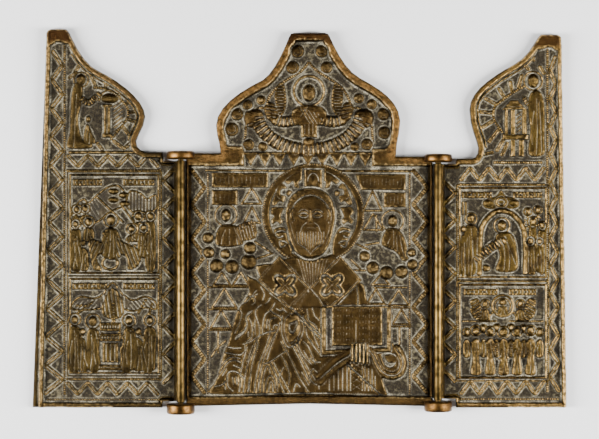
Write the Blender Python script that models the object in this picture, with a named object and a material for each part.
"""Folding travelling icon of cast brass, opened flat and lying on its back.

Three castings make it: a centre leaf with an onion-shaped crest and four round
hinge eyes, and two wings whose edge rods end in pins that turn in those eyes.
The carved faces look up along +Z, the crest points along +Y, and the eyes are
flush with the backs, so the open icon lies flat.
"""
import bpy
import bmesh
from collections import namedtuple
from math import cos, pi, radians, sin

MM = 0.001

# Leaves, measured from hinge axis to hinge axis, from an axis to a wing's free
# edge, and from the foot of the centre leaf upwards.
AXIS_SPAN = 93.6 * MM
LEFT_WIDTH = 53.9 * MM
RIGHT_WIDTH = 47.1 * MM
CENTRE_HEIGHT = 92.1 * MM
CENTRE_RIGHT_DROP = 1.2 * MM
CREST_WIDTH = 67.1 * MM
CREST_HEIGHT = 43.9 * MM
CREST_SHIFT = -0.45 * MM
LEFT_SHOULDER = 92.6 * MM
RIGHT_SHOULDER = 90.1 * MM
LEFT_PEAK = 44.9 * MM
RIGHT_PEAK = 45.4 * MM
WING_FOOT_DROP = 0.6 * MM
FOOT_ARCH = 0.9 * MM

# Thickness of the castings: recessed ground, raised rims, carved crests.
CENTRE_GROUND = 2.2 * MM
CENTRE_RIM = 4.2 * MM
WING_GROUND = 1.9 * MM
WING_RIM = 3.6 * MM
DRAFT = 0.25 * MM
SINK = 0.5 * MM

# Hinges: the eyes are cast on the centre leaf, the rods and pins on the wings.
EYE_RADIUS = 5.1 * MM
UPPER_EYE_THICK = 3.0 * MM
LOWER_EYE_THICK = 3.8 * MM
LEFT_EYE_RISE = 0.8 * MM
RIGHT_EYE_RISE = -0.3 * MM
LEFT_EYE_DROP = 2.7 * MM
RIGHT_EYE_DROP = 1.8 * MM
ROD_RADIUS = 1.5 * MM
PIN_RADIUS = 1.0 * MM
PIN_CLEARANCE = 0.3 * MM
HINGE_GAP = 0.4 * MM
NOTCH_CLEARANCE = 1.7 * MM
WEB_FOOT = 2.9 * MM

# Bands of the centre leaf.
CENTRE_SIDE_RIM = 0.8 * MM
CENTRE_TOP_RIM = 3.3 * MM
CENTRE_FOOT_RIM = 3.4 * MM
CREST_RIM = 2.0 * MM
NECK_SHARE = 0.70
NECK_HEIGHT = 7.0 * MM
CENTRE_ZIGZAG = 5.6 * MM

# Bands of the wings.
SHOULDER_RIM = 1.8 * MM
WING_FOOT_RIM = 2.4 * MM
PEAK_RIM = 1.9 * MM
CAP_RIM = 4.6 * MM
NOTCH_RIM = 0.7 * MM
RIDGE_WIDTH = 1.5 * MM
LIP_WIDTH = 1.8 * MM
LIP_THICK = 1.2 * MM
LIP_UNDERCUT = 0.2 * MM
EDGE_ZIGZAG = 4.6 * MM
HINGE_BAND = 8.6 * MM
DIVIDER = 3.2 * MM
LEFT_OUTER_BAND = 13.8 * MM
RIGHT_OUTER_BAND = 8.0 * MM
LEFT_TOP_BAND = 8.7 * MM
RIGHT_TOP_BAND = 11.0 * MM
LEFT_FOOT_BAND = 13.0 * MM
RIGHT_FOOT_BAND = 11.2 * MM

# Relief strokes above the ground.
BAR_WIDTH = 1.1 * MM
BAR_RISE = 0.9 * MM
LINE_WIDTH = 0.7 * MM
LINE_RISE = 0.7 * MM
HALO_RISE = 0.45 * MM
BODY_RISE = 0.85 * MM
HEAD_RISE = 1.3 * MM

# How many bars each zigzag band holds.
CENTRE_BARS = 12
OUTER_BARS = 25
HINGE_BARS = 15
FOOT_BARS = 9
TOP_BARS = 9

EYE_SIDES = 14
PIN_SIDES = 10

# A wing's half-onion edge, from its cap down to its shoulder: curve pulls and
# ends as shares of the wing's width and of its peak's height, and steps.
LEFT_CURVE = (
    ((0.725, 0.85), (0.64, 0.70), (0.56, 0.66), 5),
    ((0.42, 0.58), (0.246, 0.42), (0.246, 0.29), 7),
    ((0.246, 0.21), (0.30, 0.14), (0.307, 0.09), 3),
    ((0.31, 0.04), (0.28, 0.005), (0.24, 0.0), 3),
)
RIGHT_CURVE = (
    ((0.745, 0.90), (0.68, 0.81), (0.60, 0.765), 4),
    ((0.43, 0.665), (0.25, 0.55), (0.25, 0.40), 7),
    ((0.25, 0.25), (0.31, 0.155), (0.318, 0.09), 4),
    ((0.322, 0.04), (0.30, 0.005), (0.27, 0.0), 3),
)

# Origin: middle of the bounding box, on the surface that the backs lie on.
TOP_REACH = max(LEFT_SHOULDER + LEFT_PEAK, RIGHT_SHOULDER + RIGHT_PEAK, CENTRE_HEIGHT + CREST_HEIGHT)
FOOT_REACH = max(LEFT_EYE_DROP, RIGHT_EYE_DROP, WING_FOOT_DROP)
FOOT_Y = (FOOT_REACH - TOP_REACH) / 2
LEFT_AXIS = (LEFT_WIDTH - AXIS_SPAN - RIGHT_WIDTH) / 2
RIGHT_AXIS = LEFT_AXIS + AXIS_SPAN
AXIS_Z = EYE_RADIUS
SIDE_CLEAR = ROD_RADIUS + HINGE_GAP

Eye = namedtuple("Eye", "axis low high")
Wing = namedtuple("Wing", "name side axis width lip shoulder peak rod_low rod_high pin_low pin_high "
                          "edge_top cap curve bands peak_start carvings")


class Box:
    """A rectangle that places carving by percent of its width and height."""

    def __init__(self, left, low, right, high):
        self.left = left
        self.low = low
        self.right = right
        self.high = high

    def at(self, across, up):
        x = self.left + (self.right - self.left) * across / 100
        y = self.low + (self.high - self.low) * up / 100
        return (x, y)

    def span(self, share):
        return (self.right - self.left) * share / 100

    def points(self, *shares):
        return [self.at(across, up) for across, up in shares]


def bezier(start, pull, push, end, steps):
    """Points of a cubic curve after its start."""
    points = []
    for step in range(1, steps + 1):
        t = step / steps
        s = 1 - t
        weights = (s ** 3, 3 * s * s * t, 3 * s * t * t, t ** 3)
        corners = (start, pull, push, end)
        points.append(tuple(sum(w * c[i] for w, c in zip(weights, corners)) for i in (0, 1)))
    return points


def arc(centre, radius_x, radius_y, begin, end, steps):
    """Points of an elliptical arc, angles in degrees, both ends included."""
    points = []
    for step in range(steps + 1):
        angle = radians(begin + (end - begin) * step / steps)
        points.append((centre[0] + radius_x * cos(angle), centre[1] + radius_y * sin(angle)))
    return points


def ellipse(centre, radius_x, radius_y, sides):
    return arc(centre, radius_x, radius_y, 180 / sides, 360 + 180 / sides, sides)[:-1]


def counter_clockwise(points):
    area = 0
    for (x0, y0), (x1, y1) in zip(points, points[1:] + points[:1]):
        area += x0 * y1 - x1 * y0
    return points if area > 0 else points[::-1]


def inward(start, end):
    """Unit normal to the left of an edge."""
    run = end[0] - start[0]
    rise = end[1] - start[1]
    length = (run * run + rise * rise) ** 0.5
    return (-rise / length, run / length)


def inset(points, widths):
    """A counter-clockwise outline moved inwards, each edge by its own width."""
    moved = []
    count = len(points)
    for i, point in enumerate(points):
        n0 = inward(points[i - 1], point)
        n1 = inward(point, points[(i + 1) % count])
        w0 = widths[i - 1]
        w1 = widths[i]
        cross = n0[0] * n1[1] - n0[1] * n1[0]
        if abs(cross) < 0.12:
            mid = (n0[0] + n1[0], n0[1] + n1[1])
            scale = (w0 + w1) / 2 / max((mid[0] ** 2 + mid[1] ** 2) ** 0.5, 1e-9)
            moved.append((point[0] + mid[0] * scale, point[1] + mid[1] * scale))
        else:
            moved.append((
                point[0] + (w0 * n1[1] - w1 * n0[1]) / cross,
                point[1] + (w1 * n0[0] - w0 * n1[0]) / cross,
            ))
    return moved


def prism(bm, lower, upper, low, high):
    """A closed block between two counter-clockwise loops of equal length."""
    bottom = [bm.verts.new((x, y, low)) for x, y in lower]
    top = [bm.verts.new((x, y, high)) for x, y in upper]
    bm.faces.new(bottom[::-1])
    bm.faces.new(top)
    count = len(bottom)
    for i in range(count):
        j = (i + 1) % count
        bm.faces.new((bottom[i], bottom[j], top[j], top[i]))


def raised(bm, points, ground, rise, draft=DRAFT):
    """Carving with drafted sides that stands on the ground."""
    lower = counter_clockwise(points)
    upper = inset(lower, [draft] * len(lower))
    prism(bm, lower, upper, ground - SINK, ground + rise)


def sunk(bm, points, ground, top):
    """A pocket with drafted walls, cut down to the ground."""
    upper = counter_clockwise(points)
    lower = inset(upper, [DRAFT] * len(upper))
    prism(bm, lower, upper, ground, top + SINK)


def dome(bm, centre, radius_x, radius_y, ground, rise, sides):
    """A rounded boss: a head, a cloud or a flower. Small ones have one slope."""
    loops = []
    profile = ((1, -SINK), (0.86, rise * 0.6), (0.45, rise)) if sides > 6 else ((1, -SINK), (0.6, rise))
    for share, z in profile:
        loop = ellipse(centre, radius_x * share, radius_y * share, sides)
        loops.append([bm.verts.new((x, y, ground + z)) for x, y in loop])
    bm.faces.new(loops[0][::-1])
    bm.faces.new(loops[-1])
    for low, high in zip(loops, loops[1:]):
        for i in range(sides):
            j = (i + 1) % sides
            bm.faces.new((low[i], low[j], high[j], high[i]))


def hoop(bm, centre, outer, inner, ground, rise, sides):
    """A closed raised ring round a halo or medallion."""
    loops = []
    for radius_x, radius_y, z in (
        (outer[0], outer[1], -SINK),
        (outer[0] - DRAFT, outer[1] - DRAFT, rise),
        (inner[0] + DRAFT, inner[1] + DRAFT, rise),
        (inner[0], inner[1], -SINK),
    ):
        loop = ellipse(centre, radius_x, radius_y, sides)
        loops.append([bm.verts.new((x, y, ground + z)) for x, y in loop])
    for low, high in zip(loops, loops[1:] + loops[:1]):
        for i in range(sides):
            j = (i + 1) % sides
            bm.faces.new((low[i], low[j], high[j], high[i]))


def stroke(bm, path, width, ground, rise, draft=DRAFT):
    """A raised line of even width along an open path."""
    left = []
    right = []
    for i, point in enumerate(path):
        before = path[max(i - 1, 0)]
        after = path[min(i + 1, len(path) - 1)]
        normal = inward(before, after)
        left.append((point[0] + normal[0] * width / 2, point[1] + normal[1] * width / 2))
        right.append((point[0] - normal[0] * width / 2, point[1] - normal[1] * width / 2))
    raised(bm, left + right[::-1], ground, rise, draft)


def mix(start, end, share):
    return (start[0] + (end[0] - start[0]) * share, start[1] + (end[1] - start[1]) * share)


def zigzag(bm, first, second, count, ground):
    """Short bars that run to and fro between two edge lines."""
    for i in range(count):
        here = first if i % 2 == 0 else second
        there = second if i % 2 == 0 else first
        start = mix(*here, (i + 0.2) / count)
        end = mix(*there, (i + 0.8) / count)
        stroke(bm, [start, end], BAR_WIDTH, ground, BAR_RISE)


def person(bm, box, head, size, body, ground):
    """A haloed figure: a flat halo, a domed head and a robed body."""
    centre = box.at(*head)
    radius = box.span(size)
    raised(bm, ellipse(centre, radius * 1.75, radius * 1.75, 7), ground, HALO_RISE)
    raised(bm, box.points(*body), ground, BODY_RISE)
    dome(bm, (centre[0], centre[1] - radius * 0.3), radius, radius * 1.35, ground, HEAD_RISE, 6)


def triangle(bm, box, low_left, width, height, ground):
    """A small ridged triangle that fills the ground beside the figure."""
    across, up = low_left
    corners = ((across, up), (across + width, up), (across + width / 2, up + height))
    raised(bm, box.points(*corners), ground, LINE_RISE, DRAFT * 2)


def barrel_along_y(bm, section, low, high):
    """A closed block whose XZ section is swept along the hinge axis."""
    front = [bm.verts.new((x, low, z)) for x, z in section]
    back = [bm.verts.new((x, high, z)) for x, z in section]
    bm.faces.new(front)
    bm.faces.new(back[::-1])
    count = len(section)
    for i in range(count):
        j = (i + 1) % count
        bm.faces.new((front[j], front[i], back[i], back[j]))


def metal(name, colour, roughness):
    material = bpy.data.materials.new(name)
    material.use_nodes = True
    shader = material.node_tree.nodes["Principled BSDF"]
    shader.inputs["Base Color"].default_value = (*colour, 1)
    shader.inputs["Metallic"].default_value = 1
    shader.inputs["Roughness"].default_value = roughness
    return material


def to_object(name, bm, origin, helper):
    """Turn a bmesh in world places into an object with the given origin."""
    bmesh.ops.translate(bm, vec=(-origin[0], -origin[1], -origin[2]), verts=bm.verts)
    bmesh.ops.recalc_face_normals(bm, faces=bm.faces)
    mesh = bpy.data.meshes.new(name)
    bm.to_mesh(mesh)
    bm.free()
    mesh.shade_smooth()
    mesh.set_sharp_from_angle(angle=radians(35))
    shape = bpy.data.objects.new(name, mesh)
    shape.location = origin
    shape.hide_render = helper
    shape.display_type = "WIRE" if helper else "TEXTURED"
    bpy.context.scene.collection.objects.link(shape)
    return shape


def cast_leaf(name, outline, rim, pockets, relief, origin, colour):
    """One casting: a plate, its sunk pockets and the relief that stands in them."""
    plate = bmesh.new()
    outline = counter_clockwise(outline)
    prism(plate, outline, outline, 0, rim)
    leaf = to_object(name, plate, origin, False)
    leaf.data.materials.append(metal(name + "_brass", colour, 0.4))
    steps = ((to_object(name + "_pockets", pockets, origin, True), "DIFFERENCE"),
             (to_object(name + "_relief", relief, origin, True), "UNION"))
    for tool, operation in steps:
        cut = leaf.modifiers.new(tool.name, "BOOLEAN")
        cut.operation = operation
        cut.solver = "EXACT"
        cut.use_self = True
        cut.object = tool
    return leaf


def crest_outline(low_left, low_right):
    """The onion crest, from its right foot over the top to its left foot."""
    left = (LEFT_AXIS + RIGHT_AXIS - CREST_WIDTH) / 2 + CREST_SHIFT
    box = Box(left, FOOT_Y + CENTRE_HEIGHT, left + CREST_WIDTH, FOOT_Y + CENTRE_HEIGHT + CREST_HEIGHT)
    at = box.at
    points = [(at(97.5, 0)[0], low_right)]
    points += bezier(points[0], at(97.5, 8), at(100, 16), at(100, 27), 3)
    points += bezier(at(100, 27), at(99.5, 43.5), at(89, 53.5), at(78, 62.5), 6)
    points += bezier(at(78, 62.5), at(70.5, 69), at(65.5, 84), at(62, 96), 5)
    points += bezier(at(62, 96), at(61.5, 99), at(60.5, 100), at(59, 100), 2)
    points += [at(42.5, 100)]
    points += bezier(at(42.5, 100), at(41, 100), at(40, 99), at(39.5, 96), 2)
    points += bezier(at(39.5, 96), at(36.5, 84), at(31, 66.5), at(25.5, 61), 5)
    points += bezier(at(25.5, 61), at(12, 51), at(0, 38), at(0, 23), 6)
    points += bezier(at(0, 23), at(0, 14), at(2.5, 8), (at(2.5, 0)[0], low_left), 3)
    return points, box


def carve_centre_field(bm, box, ground):
    """The half-length haloed elder with the book, and what fills the ground."""
    at = box.at
    span = box.span
    halo = at(52, 79)
    hoop(bm, halo, (span(24.5), span(24.5)), (span(22.6), span(22.6)), ground, 1.2 * MM, 22)
    for turn in (-62, -28, 28, 62, 118, 152, 208, 242, 180, 0):
        angle = radians(90 + turn * 0.72)
        spot = (halo[0] + span(17.6) * cos(angle), halo[1] + span(17.6) * sin(angle))
        dome(bm, spot, span(3.4), span(3.4), ground, BODY_RISE, 6)
    body = ((26, 50), (36, 62), (43, 56), (52, 55), (61, 56), (67, 62), (76, 50), (79, 39), (92, 38),
            (92, 17), (96, 8), (97, 1), (3, 1), (7, 14), (13, 31), (18, 44))
    raised(bm, box.points(*body), ground, 0.8 * MM)
    for side, cross in ((-1, 38), (1, 62)):
        band = ((50 + side * 24, 51), (50 + side * 14, 62), (50 + side * 1, 49), (50 + side * 12, 38))
        raised(bm, box.points(*band), ground, 1.2 * MM)
        centre = at(cross, 49)
        arm = span(4.2)
        for tilt in (45, 135):
            angle = radians(tilt)
            x, y = (arm * cos(angle), arm * sin(angle))
            ends = [(centre[0] - x, centre[1] - y), (centre[0] + x, centre[1] + y)]
            stroke(bm, ends, span(2.6), ground, (1.5 + tilt / 1000) * MM)
    dome(bm, at(51.5, 75), span(12), span(15.5), ground, 1.7 * MM, 10)
    dome(bm, at(51.5, 62), span(8), span(7.5), ground, 1.9 * MM, 7)
    raised(bm, box.points((55, 17), (90, 17), (90, 39), (55, 39)), ground, 1.05 * MM)
    raised(bm, box.points((60, 21), (86, 21), (86, 38.5), (60, 38.5)), ground, 1.6 * MM)
    for finger in range(4):
        across = 71.5 + finger * 2.4
        stroke(bm, [at(across, 15), at(across, 21.5)], span(1.5), ground, 1.9 * MM)
    dome(bm, at(41, 30), span(4), span(7), ground, 1.7 * MM, 8)
    stroke(bm, box.points((33, 21), (37, 26), (43, 33), (45, 38)), span(5), ground, 1.3 * MM)
    for fold in range(7):
        top = at(21 + fold * 2.2, 43 - fold * 1.5)
        foot = at(9 + fold * 5.5, 2)
        bend = at(15 + fold * 4.6, 24 - fold * 0.5)
        stroke(bm, [top, bend, foot], span(1.1), ground, 1.15 * MM)
    for fold in range(5):
        stroke(bm, [at(58 + fold * 5, 14), at(57 + fold * 5.4, 2)], span(1.1), ground, 1.25 * MM)
    curl = box.points((77, 20), (81, 13), (87, 8), (94, 10), (96.5, 16), (93, 22))
    stroke(bm, curl, span(4), ground, 1.4 * MM)


def carve_centre_ground(bm, box, ground):
    """Inscription bars, side half-figures on clouds and ridged triangles."""
    at = box.at
    span = box.span
    for left, right in ((2, 28), (76, 98)):
        raised(bm, box.points((left, 91), (right, 91), (right, 96.5), (left, 96.5)), ground, BODY_RISE)
    raised(bm, box.points((2, 84), (13, 84), (13, 89.5), (2, 89.5)), ground, BODY_RISE)
    raised(bm, box.points((87, 83), (98, 83), (98, 89.5), (87, 89.5)), ground, BODY_RISE)
    person(bm, box, (9, 79), 2.6, ((3, 66), (4, 75), (13, 76), (21, 75), (22, 68), (13, 66)), ground)
    person(bm, box, (91, 76), 2.6, ((85, 66), (86, 72), (95, 73), (99, 61), (91, 61)), ground)
    clouds = ((1, 69, 2.7), (1.5, 63, 2.9), (5, 57, 3.3), (12.5, 57.5, 3.3), (21, 59.5, 3.6), (21, 65, 2.8),
              (78, 61, 2.7), (81, 56, 3.0), (88, 54, 3.2), (95, 54.5, 3.0), (99, 60, 2.4))
    for across, up, size in clouds:
        dome(bm, at(across, up), span(size), span(size), ground, 1.25 * MM, 6)
    for low_left, width, height in (
        ((17, 83), 7, 6), ((17, 76), 6, 5), ((78, 82), 6, 6), ((78, 74), 6, 6),
        ((2, 47.5), 8, 5.5), ((13, 47.5), 6, 5), ((2, 39), 10, 6.5), ((1, 30), 8, 6.5),
        ((79, 40), 7, 6), ((89, 40), 9, 6), ((93, 31), 6, 6), ((84, 48), 9, 4.5),
    ):
        triangle(bm, box, low_left, width, height, ground)


def carve_crest(bm, box, ground):
    """The half-figure with spread arms over ribbed clouds, under a small arch."""
    at = box.at
    span = box.span
    arch = [at(30, 42)] + bezier(at(30, 42), at(31, 60), at(44, 64), at(50, 76), 4)
    arch += bezier(at(50, 76), at(56, 64), at(69, 60), at(71, 43), 4)
    stroke(bm, arch, span(1.4), ground, 1.0 * MM)
    hoop(bm, at(50, 52), (span(8.2), span(8.2)), (span(6.6), span(6.6)), ground, 1.1 * MM, 12)
    dome(bm, at(50, 51), span(3.8), span(5.2), ground, 1.7 * MM, 8)
    raised(bm, box.points((44, 22), (43, 34), (47, 40), (54, 40), (58, 34), (57, 22)), ground, 1.3 * MM)
    for side in (-1, 1):
        stroke(bm, box.points((50.5 + side * 5, 29), (50.5 + side * 16, 26)), span(6), ground, 1.15 * MM)
        dome(bm, at(50.5 + side * 19.5, 34), span(3.6), span(5.4), ground, 1.4 * MM, 6)
        dome(bm, at(50.5 + side * 29, 28), span(4.2), span(5.4), ground, 1.45 * MM, 6)
        for rib in range(7):
            angle = radians(270 + side * (8 + rib * 11))
            near = (50.5 + 24 * cos(angle), 37 + 25 * sin(angle))
            far = (50.5 + 33 * cos(angle), 37 + 33 * sin(angle))
            stroke(bm, box.points(near, far), span(2.3), ground, 1.2 * MM)
    dome(bm, at(50.5, 9), span(3), span(3.6), ground, 1.5 * MM, 8)
    raised(bm, box.points((46.5, 14.5), (54.5, 14.5), (54.5, 21), (46.5, 21)), ground, 1.45 * MM)
    flowers = ((45, 85, 3), (43.5, 73, 3), (55, 84, 3), (57, 73, 3), (26, 46, 2.2), (18.5, 40, 2.6),
               (12, 33, 3), (9, 21, 3), (18, 8, 2.7), (76, 47, 2.4), (84, 41, 2.7), (90, 31, 3),
               (90, 18, 3), (82, 8, 2.8))
    for across, up, size in flowers:
        dome(bm, at(across, up), span(size), span(size), ground, BODY_RISE, 6)
    for tooth in range(8):
        left = 16 + tooth * 8.6
        raised(bm, box.points((left, -1), (left + 4, -7.5), (left + 8, -1)), ground, BODY_RISE)


def hinge_eye(bm, eye):
    """A flat round eye on edge, with the hole that a wing's pin turns in."""
    loops = []
    hole = PIN_RADIUS + PIN_CLEARANCE
    for radius, y in ((EYE_RADIUS, eye.low), (EYE_RADIUS, eye.high), (hole, eye.high), (hole, eye.low)):
        ring = arc((eye.axis, AXIS_Z), radius, radius, -90, 270, EYE_SIDES)[:-1]
        loops.append([bm.verts.new((x, y, z)) for x, z in ring])
    for one, two in zip(loops, loops[1:] + loops[:1]):
        for i in range(EYE_SIDES):
            j = (i + 1) % EYE_SIDES
            bm.faces.new((one[i], two[i], two[j], one[j]))


def centre_panel(eyes):
    """The centre leaf with its crest and the four hinge eyes."""
    left = LEFT_AXIS + SIDE_CLEAR
    right = RIGHT_AXIS - SIDE_CLEAR
    shoulder = FOOT_Y + CENTRE_HEIGHT
    low_shoulder = shoulder - CENTRE_RIGHT_DROP
    crest, crest_box = crest_outline(shoulder, low_shoulder)
    middle = (left + right) / 2
    outline = [(left, FOOT_Y), (middle, FOOT_Y + FOOT_ARCH), (right, FOOT_Y), (right, low_shoulder)]
    outline += crest + [(left, shoulder)]

    field = Box(left + CENTRE_SIDE_RIM, FOOT_Y + CENTRE_FOOT_RIM,
                right - CENTRE_SIDE_RIM, low_shoulder - CENTRE_TOP_RIM)
    neck_width = crest_box.span(100) * NECK_SHARE
    neck_left = crest_box.at(50, 0)[0] - neck_width / 2
    neck = Box(neck_left, field.high - CENTRE_RIM, neck_left + neck_width, field.high + NECK_HEIGHT)
    corners = ((0, 0), (100, 0), (100, 100), (0, 100))
    pockets = bmesh.new()
    sunk(pockets, inset(crest, [CREST_RIM] * len(crest)), CENTRE_GROUND, CENTRE_RIM)
    sunk(pockets, field.points(*corners), CENTRE_GROUND, CENTRE_RIM)
    sunk(pockets, neck.points(*corners), CENTRE_GROUND, CENTRE_RIM)

    relief = bmesh.new()
    border = CENTRE_ZIGZAG + LINE_WIDTH
    scene = Box(field.left + border, field.low, field.right - border, field.high)
    edge = DRAFT * 2 + BAR_WIDTH / 2
    for outer, inner, line in (
        (field.left + edge, scene.left - LINE_WIDTH - edge, scene.left - LINE_WIDTH / 2),
        (field.right - edge, scene.right + LINE_WIDTH + edge, scene.right + LINE_WIDTH / 2),
    ):
        high = field.high - edge
        low = field.low + edge
        zigzag(relief, ((outer, high), (outer, low)), ((inner, high), (inner, low)),
               CENTRE_BARS, CENTRE_GROUND)
        stroke(relief, [(line, low), (line, high)], LINE_WIDTH, CENTRE_GROUND, LINE_RISE)
    carve_centre_field(relief, scene, CENTRE_GROUND)
    carve_centre_ground(relief, scene, CENTRE_GROUND)
    carve_crest(relief, crest_box, CENTRE_GROUND)
    for eye in eyes:
        hinge_eye(relief, eye)
    cast_leaf("centre_panel", outline, CENTRE_RIM, pockets, relief, (middle, FOOT_Y, 0), (0.36, 0.24, 0.1))


def wing_outline(wing):
    """The wing's outline and its pocket, in distances from the hinge axis."""
    foot = FOOT_Y - WING_FOOT_DROP
    top = wing.shoulder + wing.peak
    notch = EYE_RADIUS + NOTCH_CLEARANCE
    notch_low = wing.rod_low + DRAFT
    notch_high = wing.rod_high - DRAFT
    web = ROD_RADIUS - HINGE_GAP
    cap = wing.width * wing.cap
    edge = wing.width * wing.edge_top
    start = (cap, top)
    frame = [((-web, notch_low), NOTCH_RIM), ((notch, notch_low), NOTCH_RIM), ((notch, foot), WING_FOOT_RIM),
             ((wing.width - wing.lip, foot), RIDGE_WIDTH), ((edge, top), CAP_RIM), (start, PEAK_RIM)]
    curve = []
    for pull, push, end, steps in wing.curve:
        corners = [(wing.width * across, wing.shoulder + wing.peak * up) for across, up in (pull, push, end)]
        points = bezier(start, *corners, steps)
        curve += [(point, PEAK_RIM) for point in points]
        start = points[-1]
    curve[-1] = (start, SHOULDER_RIM)
    hinge = [((notch, wing.shoulder), NOTCH_RIM), ((notch, notch_high), NOTCH_RIM),
             ((-web, notch_high), web + WEB_FOOT)]

    corner = CAP_RIM / 3
    rounded = [(edge, top - corner), (edge - corner / 3, top - corner / 3), (edge - corner, top),
               (cap + corner / 2, top), (cap, top - corner / 2)]
    outline = [point for point, _ in frame[:4]] + rounded + [point for point, _ in curve + hinge]
    rows = frame + [row for row in curve if row[0][1] < top - CAP_RIM] + hinge
    return outline, inset([point for point, _ in rows], [rim for _, rim in rows])


def carve_scene_frame(bm, box, ground):
    """The raised border and the two inscription bars of a small scene."""
    lines = (((-2, -2), (102, -2)), ((-2, 102), (102, 102)),
             ((-3, 0.5), (-3, 99.5)), ((103, 0.5), (103, 99.5)))
    for start, end in lines:
        stroke(bm, box.points(start, end), LINE_WIDTH, ground, LINE_RISE)
    for left, right in ((4, 38), (60, 94)):
        raised(bm, box.points((left, 91), (right, 91), (right, 97), (left, 97)), ground, HALO_RISE)


def carve_birth(bm, box, ground):
    """Left wing, upper scene: a seated figure before a rock, groups at the sides."""
    carve_scene_frame(bm, box, ground)
    raised(bm, box.points((2, 70), (22, 84), (46, 90), (56, 74), (33, 66)), ground, HALO_RISE + 0.1 * MM)
    raised(bm, box.points((58, 70), (60, 88), (96, 80), (96, 68)), ground, HALO_RISE + 0.15 * MM)
    person(bm, box, (46, 56), 5.2, ((36, 18), (38, 46), (55, 46), (60, 18), (52, 8), (42, 8)), ground)
    person(bm, box, (20, 53), 4.8, ((10, 4), (12, 44), (28, 44), (30, 24), (24, 3)), ground)
    person(bm, box, (81, 56), 4.8, ((70, 4), (72, 44), (88, 47), (95, 20), (90, 3)), ground)
    dome(bm, box.at(8, 64), box.span(4), box.span(5), ground, HEAD_RISE, 6)
    dome(bm, box.at(94, 62), box.span(4), box.span(5), ground, HEAD_RISE, 6)
    dome(bm, box.at(65, 42), box.span(4.4), box.span(5.5), ground, HEAD_RISE, 6)


def carve_tomb(bm, box, ground):
    """Left wing, lower scene: a tomb and pillar with two mourners on each side."""
    carve_scene_frame(bm, box, ground)
    raised(bm, box.points((34, 74), (49, 93), (62, 74), (54, 55), (44, 55)), ground, BODY_RISE)
    for low, high, inset_by, rise in ((44, 53, 0, 1.0), (34, 41, 1, 0.95), (11, 31, 3, 0.9)):
        corners = ((34 + inset_by, low), (56 - inset_by, low), (56 - inset_by, high), (34 + inset_by, high))
        raised(bm, box.points(*corners), ground, rise * MM)
    raised(bm, box.points((29, 2), (71, 2), (71, 8), (29, 8)), ground, LINE_RISE)
    person(bm, box, (25, 57), 5.4, ((9, 3), (14, 44), (27, 48), (30, 22), (25, 3)), ground)
    person(bm, box, (67, 57), 4.8, ((59, 25), (60, 47), (72, 48), (76, 30), (72, 24)), ground)
    person(bm, box, (87, 56), 4.4, ((76, 2), (80, 44), (94, 46), (96, 3)), ground)
    dome(bm, box.at(5, 58), box.span(4.2), box.span(5.6), ground, HEAD_RISE, 6)
    raised(bm, box.points((1, 4), (2, 50), (7, 50), (7, 4)), ground, BODY_RISE)


def carve_nativity(bm, box, ground):
    """Right wing, upper scene: a bending figure under a ribbed arch."""
    carve_scene_frame(bm, box, ground)
    outer = arc(box.at(48, 46), box.span(26), box.span(27), -8, 180, 9)
    stroke(bm, outer, box.span(5), ground, 1.0 * MM)
    stroke(bm, box.points((74, 40), (75, 4)), box.span(5), ground, 0.95 * MM)
    dome(bm, box.at(48, 84), box.span(5.5), box.span(5.5), ground, BODY_RISE, 8)
    person(bm, box, (49, 58), 4.8, ((48, 4), (52, 46), (62, 48), (66, 5)), ground)
    stroke(bm, box.points((47, 34), (33, 25), (20, 17)), box.span(7), ground, 0.9 * MM)
    person(bm, box, (12, 72), 4.2, ((5, 3), (7, 64), (16, 64), (18, 3)), ground)
    person(bm, box, (87, 62), 4.6, ((83, 30), (84, 54), (93, 54), (94, 30)), ground)
    person(bm, box, (87, 21), 3.6, ((81, 2), (82, 14), (94, 15), (96, 2)), ground)
    dome(bm, box.at(28, 10), box.span(4.2), box.span(4.2), ground, HEAD_RISE, 7)


def carve_ascension(bm, box, ground):
    """Right wing, lower scene: an oval glory with two angels over a standing row."""
    carve_scene_frame(bm, box, ground)
    outer = (box.span(12), box.span(14.5))
    inner = (box.span(9.5), box.span(12))
    hoop(bm, box.at(50, 77), outer, inner, ground, LINE_RISE, 11)
    dome(bm, box.at(50, 77), box.span(5), box.span(9), ground, BODY_RISE, 7)
    for side in (-1, 1):
        dome(bm, box.at(50 + side * 19, 79), box.span(4.5), box.span(5), ground, HEAD_RISE, 6)
        stroke(bm, box.points((50 + side * 21, 72), (50 + side * 41, 66)), box.span(8), ground, BODY_RISE)
        dome(bm, box.at(50 + side * 37, 82), box.span(8), box.span(4), ground, LINE_RISE, 7)
    for across in (18, 34, 51, 68, 84):
        body = ((across - 7, 3), (across - 5, 42), (across + 5, 42), (across + 7, 3))
        person(bm, box, (across, 51), 3.9, body, ground)


def carve_left_peak(bm, box, ground):
    """Left wing, peak: a bowed figure facing a domed column inside an arch line."""
    robe = ((22, 4), (25, 30), (25, 50), (32, 54), (50, 49), (50, 43), (39, 40), (42, 24), (50, 20), (46, 5))
    person(bm, box, (33, 60), 4.2, robe, ground)
    dome(bm, box.at(62, 41), box.span(7.5), box.span(5), ground, 1.1 * MM, 8)
    stroke(bm, box.points((59, 37), (59, 14)), box.span(4.5), ground, BODY_RISE)
    path = bezier(box.at(47, 53), box.at(78, 49), box.at(96, 25), box.at(62, 11), 7)
    stroke(bm, path, LINE_WIDTH, ground, LINE_RISE)
    for near, far in (((44, 65), (47, 59)), ((54, 59), (62, 57)), ((75, 45), (83, 45)), ((86, 38), (82, 33)),
                      ((82, 30), (88, 23)), ((75, 17), (85, 16)), ((70, 12), (77, 6))):
        stroke(bm, box.points(near, far), BAR_WIDTH, ground, BAR_RISE)


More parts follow.
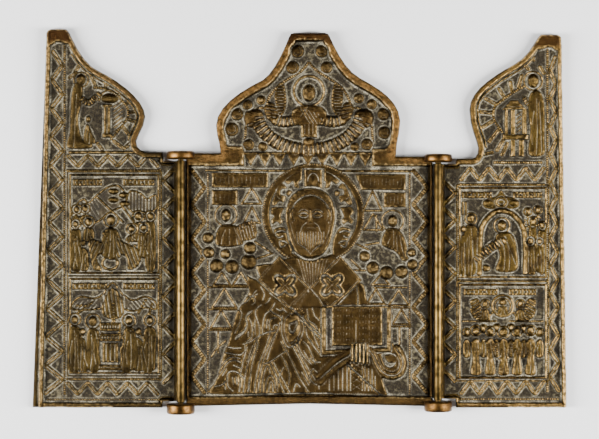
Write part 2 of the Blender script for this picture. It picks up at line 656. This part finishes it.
def carve_right_peak(bm, box, ground):
    """Right wing, peak: a standing figure before a shrine inside an arch line."""
    robe = ((64, 4), (65, 30), (57, 46), (62, 54), (80, 55), (85, 45), (84, 4))
    person(bm, box, (69, 61), 5.2, robe, ground)
    raised(bm, box.points((39, 39), (39, 44), (46, 48), (58, 44), (58, 39)), ground, BODY_RISE)
    for across in (46, 59):
        stroke(bm, box.points((across, 38.5), (across, 21)), box.span(4.5), ground, 0.8 * MM)
    stroke(bm, box.points((41, 19.5), (61, 19.5)), box.span(3.5), ground, 0.9 * MM)
    stroke(bm, box.points((56, 17), (56, 2)), box.span(6), ground, 0.75 * MM)
    path = bezier(box.at(57, 57), box.at(20, 46), box.at(18, 30), box.at(41, 19), 7)
    stroke(bm, path, LINE_WIDTH, ground, LINE_RISE)
    for near, far in (((29, 59), (44, 54)), ((10, 41), (23, 42)), ((10, 35), (23, 28)), ((28, 25), (22, 17)),
                      ((26, 12), (43, 11)), ((50, 67), (50, 60))):
        stroke(bm, box.points(near, far), BAR_WIDTH, ground, BAR_RISE)


def carve_wing_borders(bm, wing, inner_edge, scene_low, scene_high, place):
    """The zigzag bands and thin lines that run round the two scenes."""
    ground = WING_GROUND
    foot = FOOT_Y - WING_FOOT_DROP
    half = DRAFT * 2 + BAR_WIDTH / 2
    line = wing.width - wing.bands[0] + EDGE_ZIGZAG / 2
    low = foot + WING_FOOT_RIM + half
    high = wing.shoulder + wing.peak - CAP_RIM - half
    outer = [place([(edge - half, y)])[0] for edge, y in (inner_edge(low), inner_edge(high))]
    inner = place([(line + LINE_WIDTH / 2 + half, low), (line + LINE_WIDTH / 2 + half, high)])
    zigzag(bm, outer, inner, OUTER_BARS, ground)
    stroke(bm, place([(line, scene_low - EDGE_ZIGZAG / 3), (line, high)]), LINE_WIDTH, ground, LINE_RISE)

    near = WEB_FOOT + half
    far = HINGE_BAND - LINE_WIDTH - half * 1.6
    ends = (scene_low, wing.rod_high - NOTCH_RIM - half)
    zigzag(bm, place([(near, y) for y in ends]), place([(far, y) for y in ends]), HINGE_BARS, ground)

    start = HINGE_BAND - LINE_WIDTH
    top = wing.shoulder - SHOULDER_RIM - half - EDGE_ZIGZAG * 0.7
    for base, count in ((low + half / 2, FOOT_BARS), (top, TOP_BARS)):
        levels = (base, base + EDGE_ZIGZAG * 0.62)
        ends = (start, line - half * 1.6)
        zigzag(bm, place([(a, levels[0]) for a in ends]), place([(a, levels[1]) for a in ends]),
               count, ground)


def wing_panel(wing):
    """A wing: plate, pocket, hinge rod with its pins, borders and carved scenes."""
    def place(points):
        return [(wing.axis + wing.side * a, y) for a, y in points]

    ground = WING_GROUND
    foot = FOOT_Y - WING_FOOT_DROP
    outline, pocket = wing_outline(wing)
    pockets = bmesh.new()
    sunk(pockets, place(pocket), ground, WING_RIM)

    relief = bmesh.new()
    web = ROD_RADIUS - HINGE_GAP
    section = [(-web + DRAFT, DRAFT), (WEB_FOOT, DRAFT), (WEB_FOOT, ground + DRAFT)]
    section += [(a, AXIS_Z + z) for a, z in arc((0, 0), ROD_RADIUS, ROD_RADIUS, -25, 205, 7)]
    barrel_along_y(relief, [(wing.axis + wing.side * a, z) for a, z in section], wing.rod_low, wing.rod_high)
    pin = arc((wing.axis, AXIS_Z), PIN_RADIUS, PIN_RADIUS, 15, 375, PIN_SIDES)[:-1]
    for low, high in ((wing.pin_low, wing.rod_low + ROD_RADIUS), (wing.rod_high - ROD_RADIUS, wing.pin_high)):
        barrel_along_y(relief, pin, low, high)

    cap_low = wing.shoulder + wing.peak - CAP_RIM
    edge_foot = wing.width - wing.lip
    lean = (wing.width * wing.edge_top - edge_foot) / (cap_low + CAP_RIM - foot)
    edge_cap = edge_foot + lean * (cap_low - foot)
    if wing.lip > 0:
        lip = [(edge_foot - DRAFT * 2, foot + DRAFT), (wing.width, foot + DRAFT),
               (edge_cap + DRAFT, cap_low), (edge_cap - DRAFT * 2, cap_low)]
        lip = counter_clockwise(place(lip))
        prism(relief, lip, lip, LIP_UNDERCUT, LIP_THICK)

    def inner_edge(y):
        return (edge_foot + lean * (y - foot) - RIDGE_WIDTH, y)

    outer_band, top_band, foot_band = wing.bands
    low = foot + foot_band
    high = wing.shoulder - top_band
    ends = sorted(x for x, _ in place([(HINGE_BAND, 0), (wing.width - outer_band, 0)]))
    size = (high - low - DIVIDER) / 2
    carve_wing_borders(relief, wing, inner_edge, low, high, place)
    lower = Box(ends[0], low, ends[1], low + size)
    upper = Box(ends[0], high - size, ends[1], high)
    ends = sorted(x for x, _ in place([(wing.width * wing.peak_start, 0), (wing.width * wing.edge_top, 0)]))
    peak = Box(ends[0], wing.shoulder, ends[1], wing.shoulder + wing.peak)
    for carve, box in zip(wing.carvings, (peak, upper, lower)):
        carve(relief, box, ground)
    origin = (wing.axis, FOOT_Y, AXIS_Z)
    cast_leaf(wing.name, place(outline), WING_RIM, pockets, relief, origin, (0.38, 0.25, 0.1))


def build():
    for thing in list(bpy.data.objects):
        bpy.data.objects.remove(thing)
    shoulder = FOOT_Y + CENTRE_HEIGHT
    eyes = []
    rods = []
    sides = ((LEFT_AXIS, LEFT_EYE_RISE, LEFT_EYE_DROP), (RIGHT_AXIS, RIGHT_EYE_RISE, RIGHT_EYE_DROP))
    for axis, rise, drop in sides:
        top = shoulder + rise
        foot = FOOT_Y - drop
        eyes.append(Eye(axis, top - UPPER_EYE_THICK, top))
        eyes.append(Eye(axis, foot, foot + LOWER_EYE_THICK))
        rods.append((foot + LOWER_EYE_THICK + HINGE_GAP, top - UPPER_EYE_THICK - HINGE_GAP,
                     foot + PIN_CLEARANCE, top - PIN_CLEARANCE))
    centre_panel(eyes)
    wing_panel(Wing("left_wing", -1, LEFT_AXIS, LEFT_WIDTH, LIP_WIDTH,
                    FOOT_Y + LEFT_SHOULDER, LEFT_PEAK, *rods[0],
                    edge_top=0.913, cap=0.765, curve=LEFT_CURVE, peak_start=0.223,
                    bands=(LEFT_OUTER_BAND, LEFT_TOP_BAND, LEFT_FOOT_BAND),
                    carvings=(carve_left_peak, carve_birth, carve_tomb)))
    wing_panel(Wing("right_wing", 1, RIGHT_AXIS, RIGHT_WIDTH, 0,
                    FOOT_Y + RIGHT_SHOULDER, RIGHT_PEAK, *rods[1],
                    edge_top=0.961, cap=0.785, curve=RIGHT_CURVE, peak_start=0.25,
                    bands=(RIGHT_OUTER_BAND, RIGHT_TOP_BAND, RIGHT_FOOT_BAND),
                    carvings=(carve_right_peak, carve_nativity, carve_ascension)))


build()
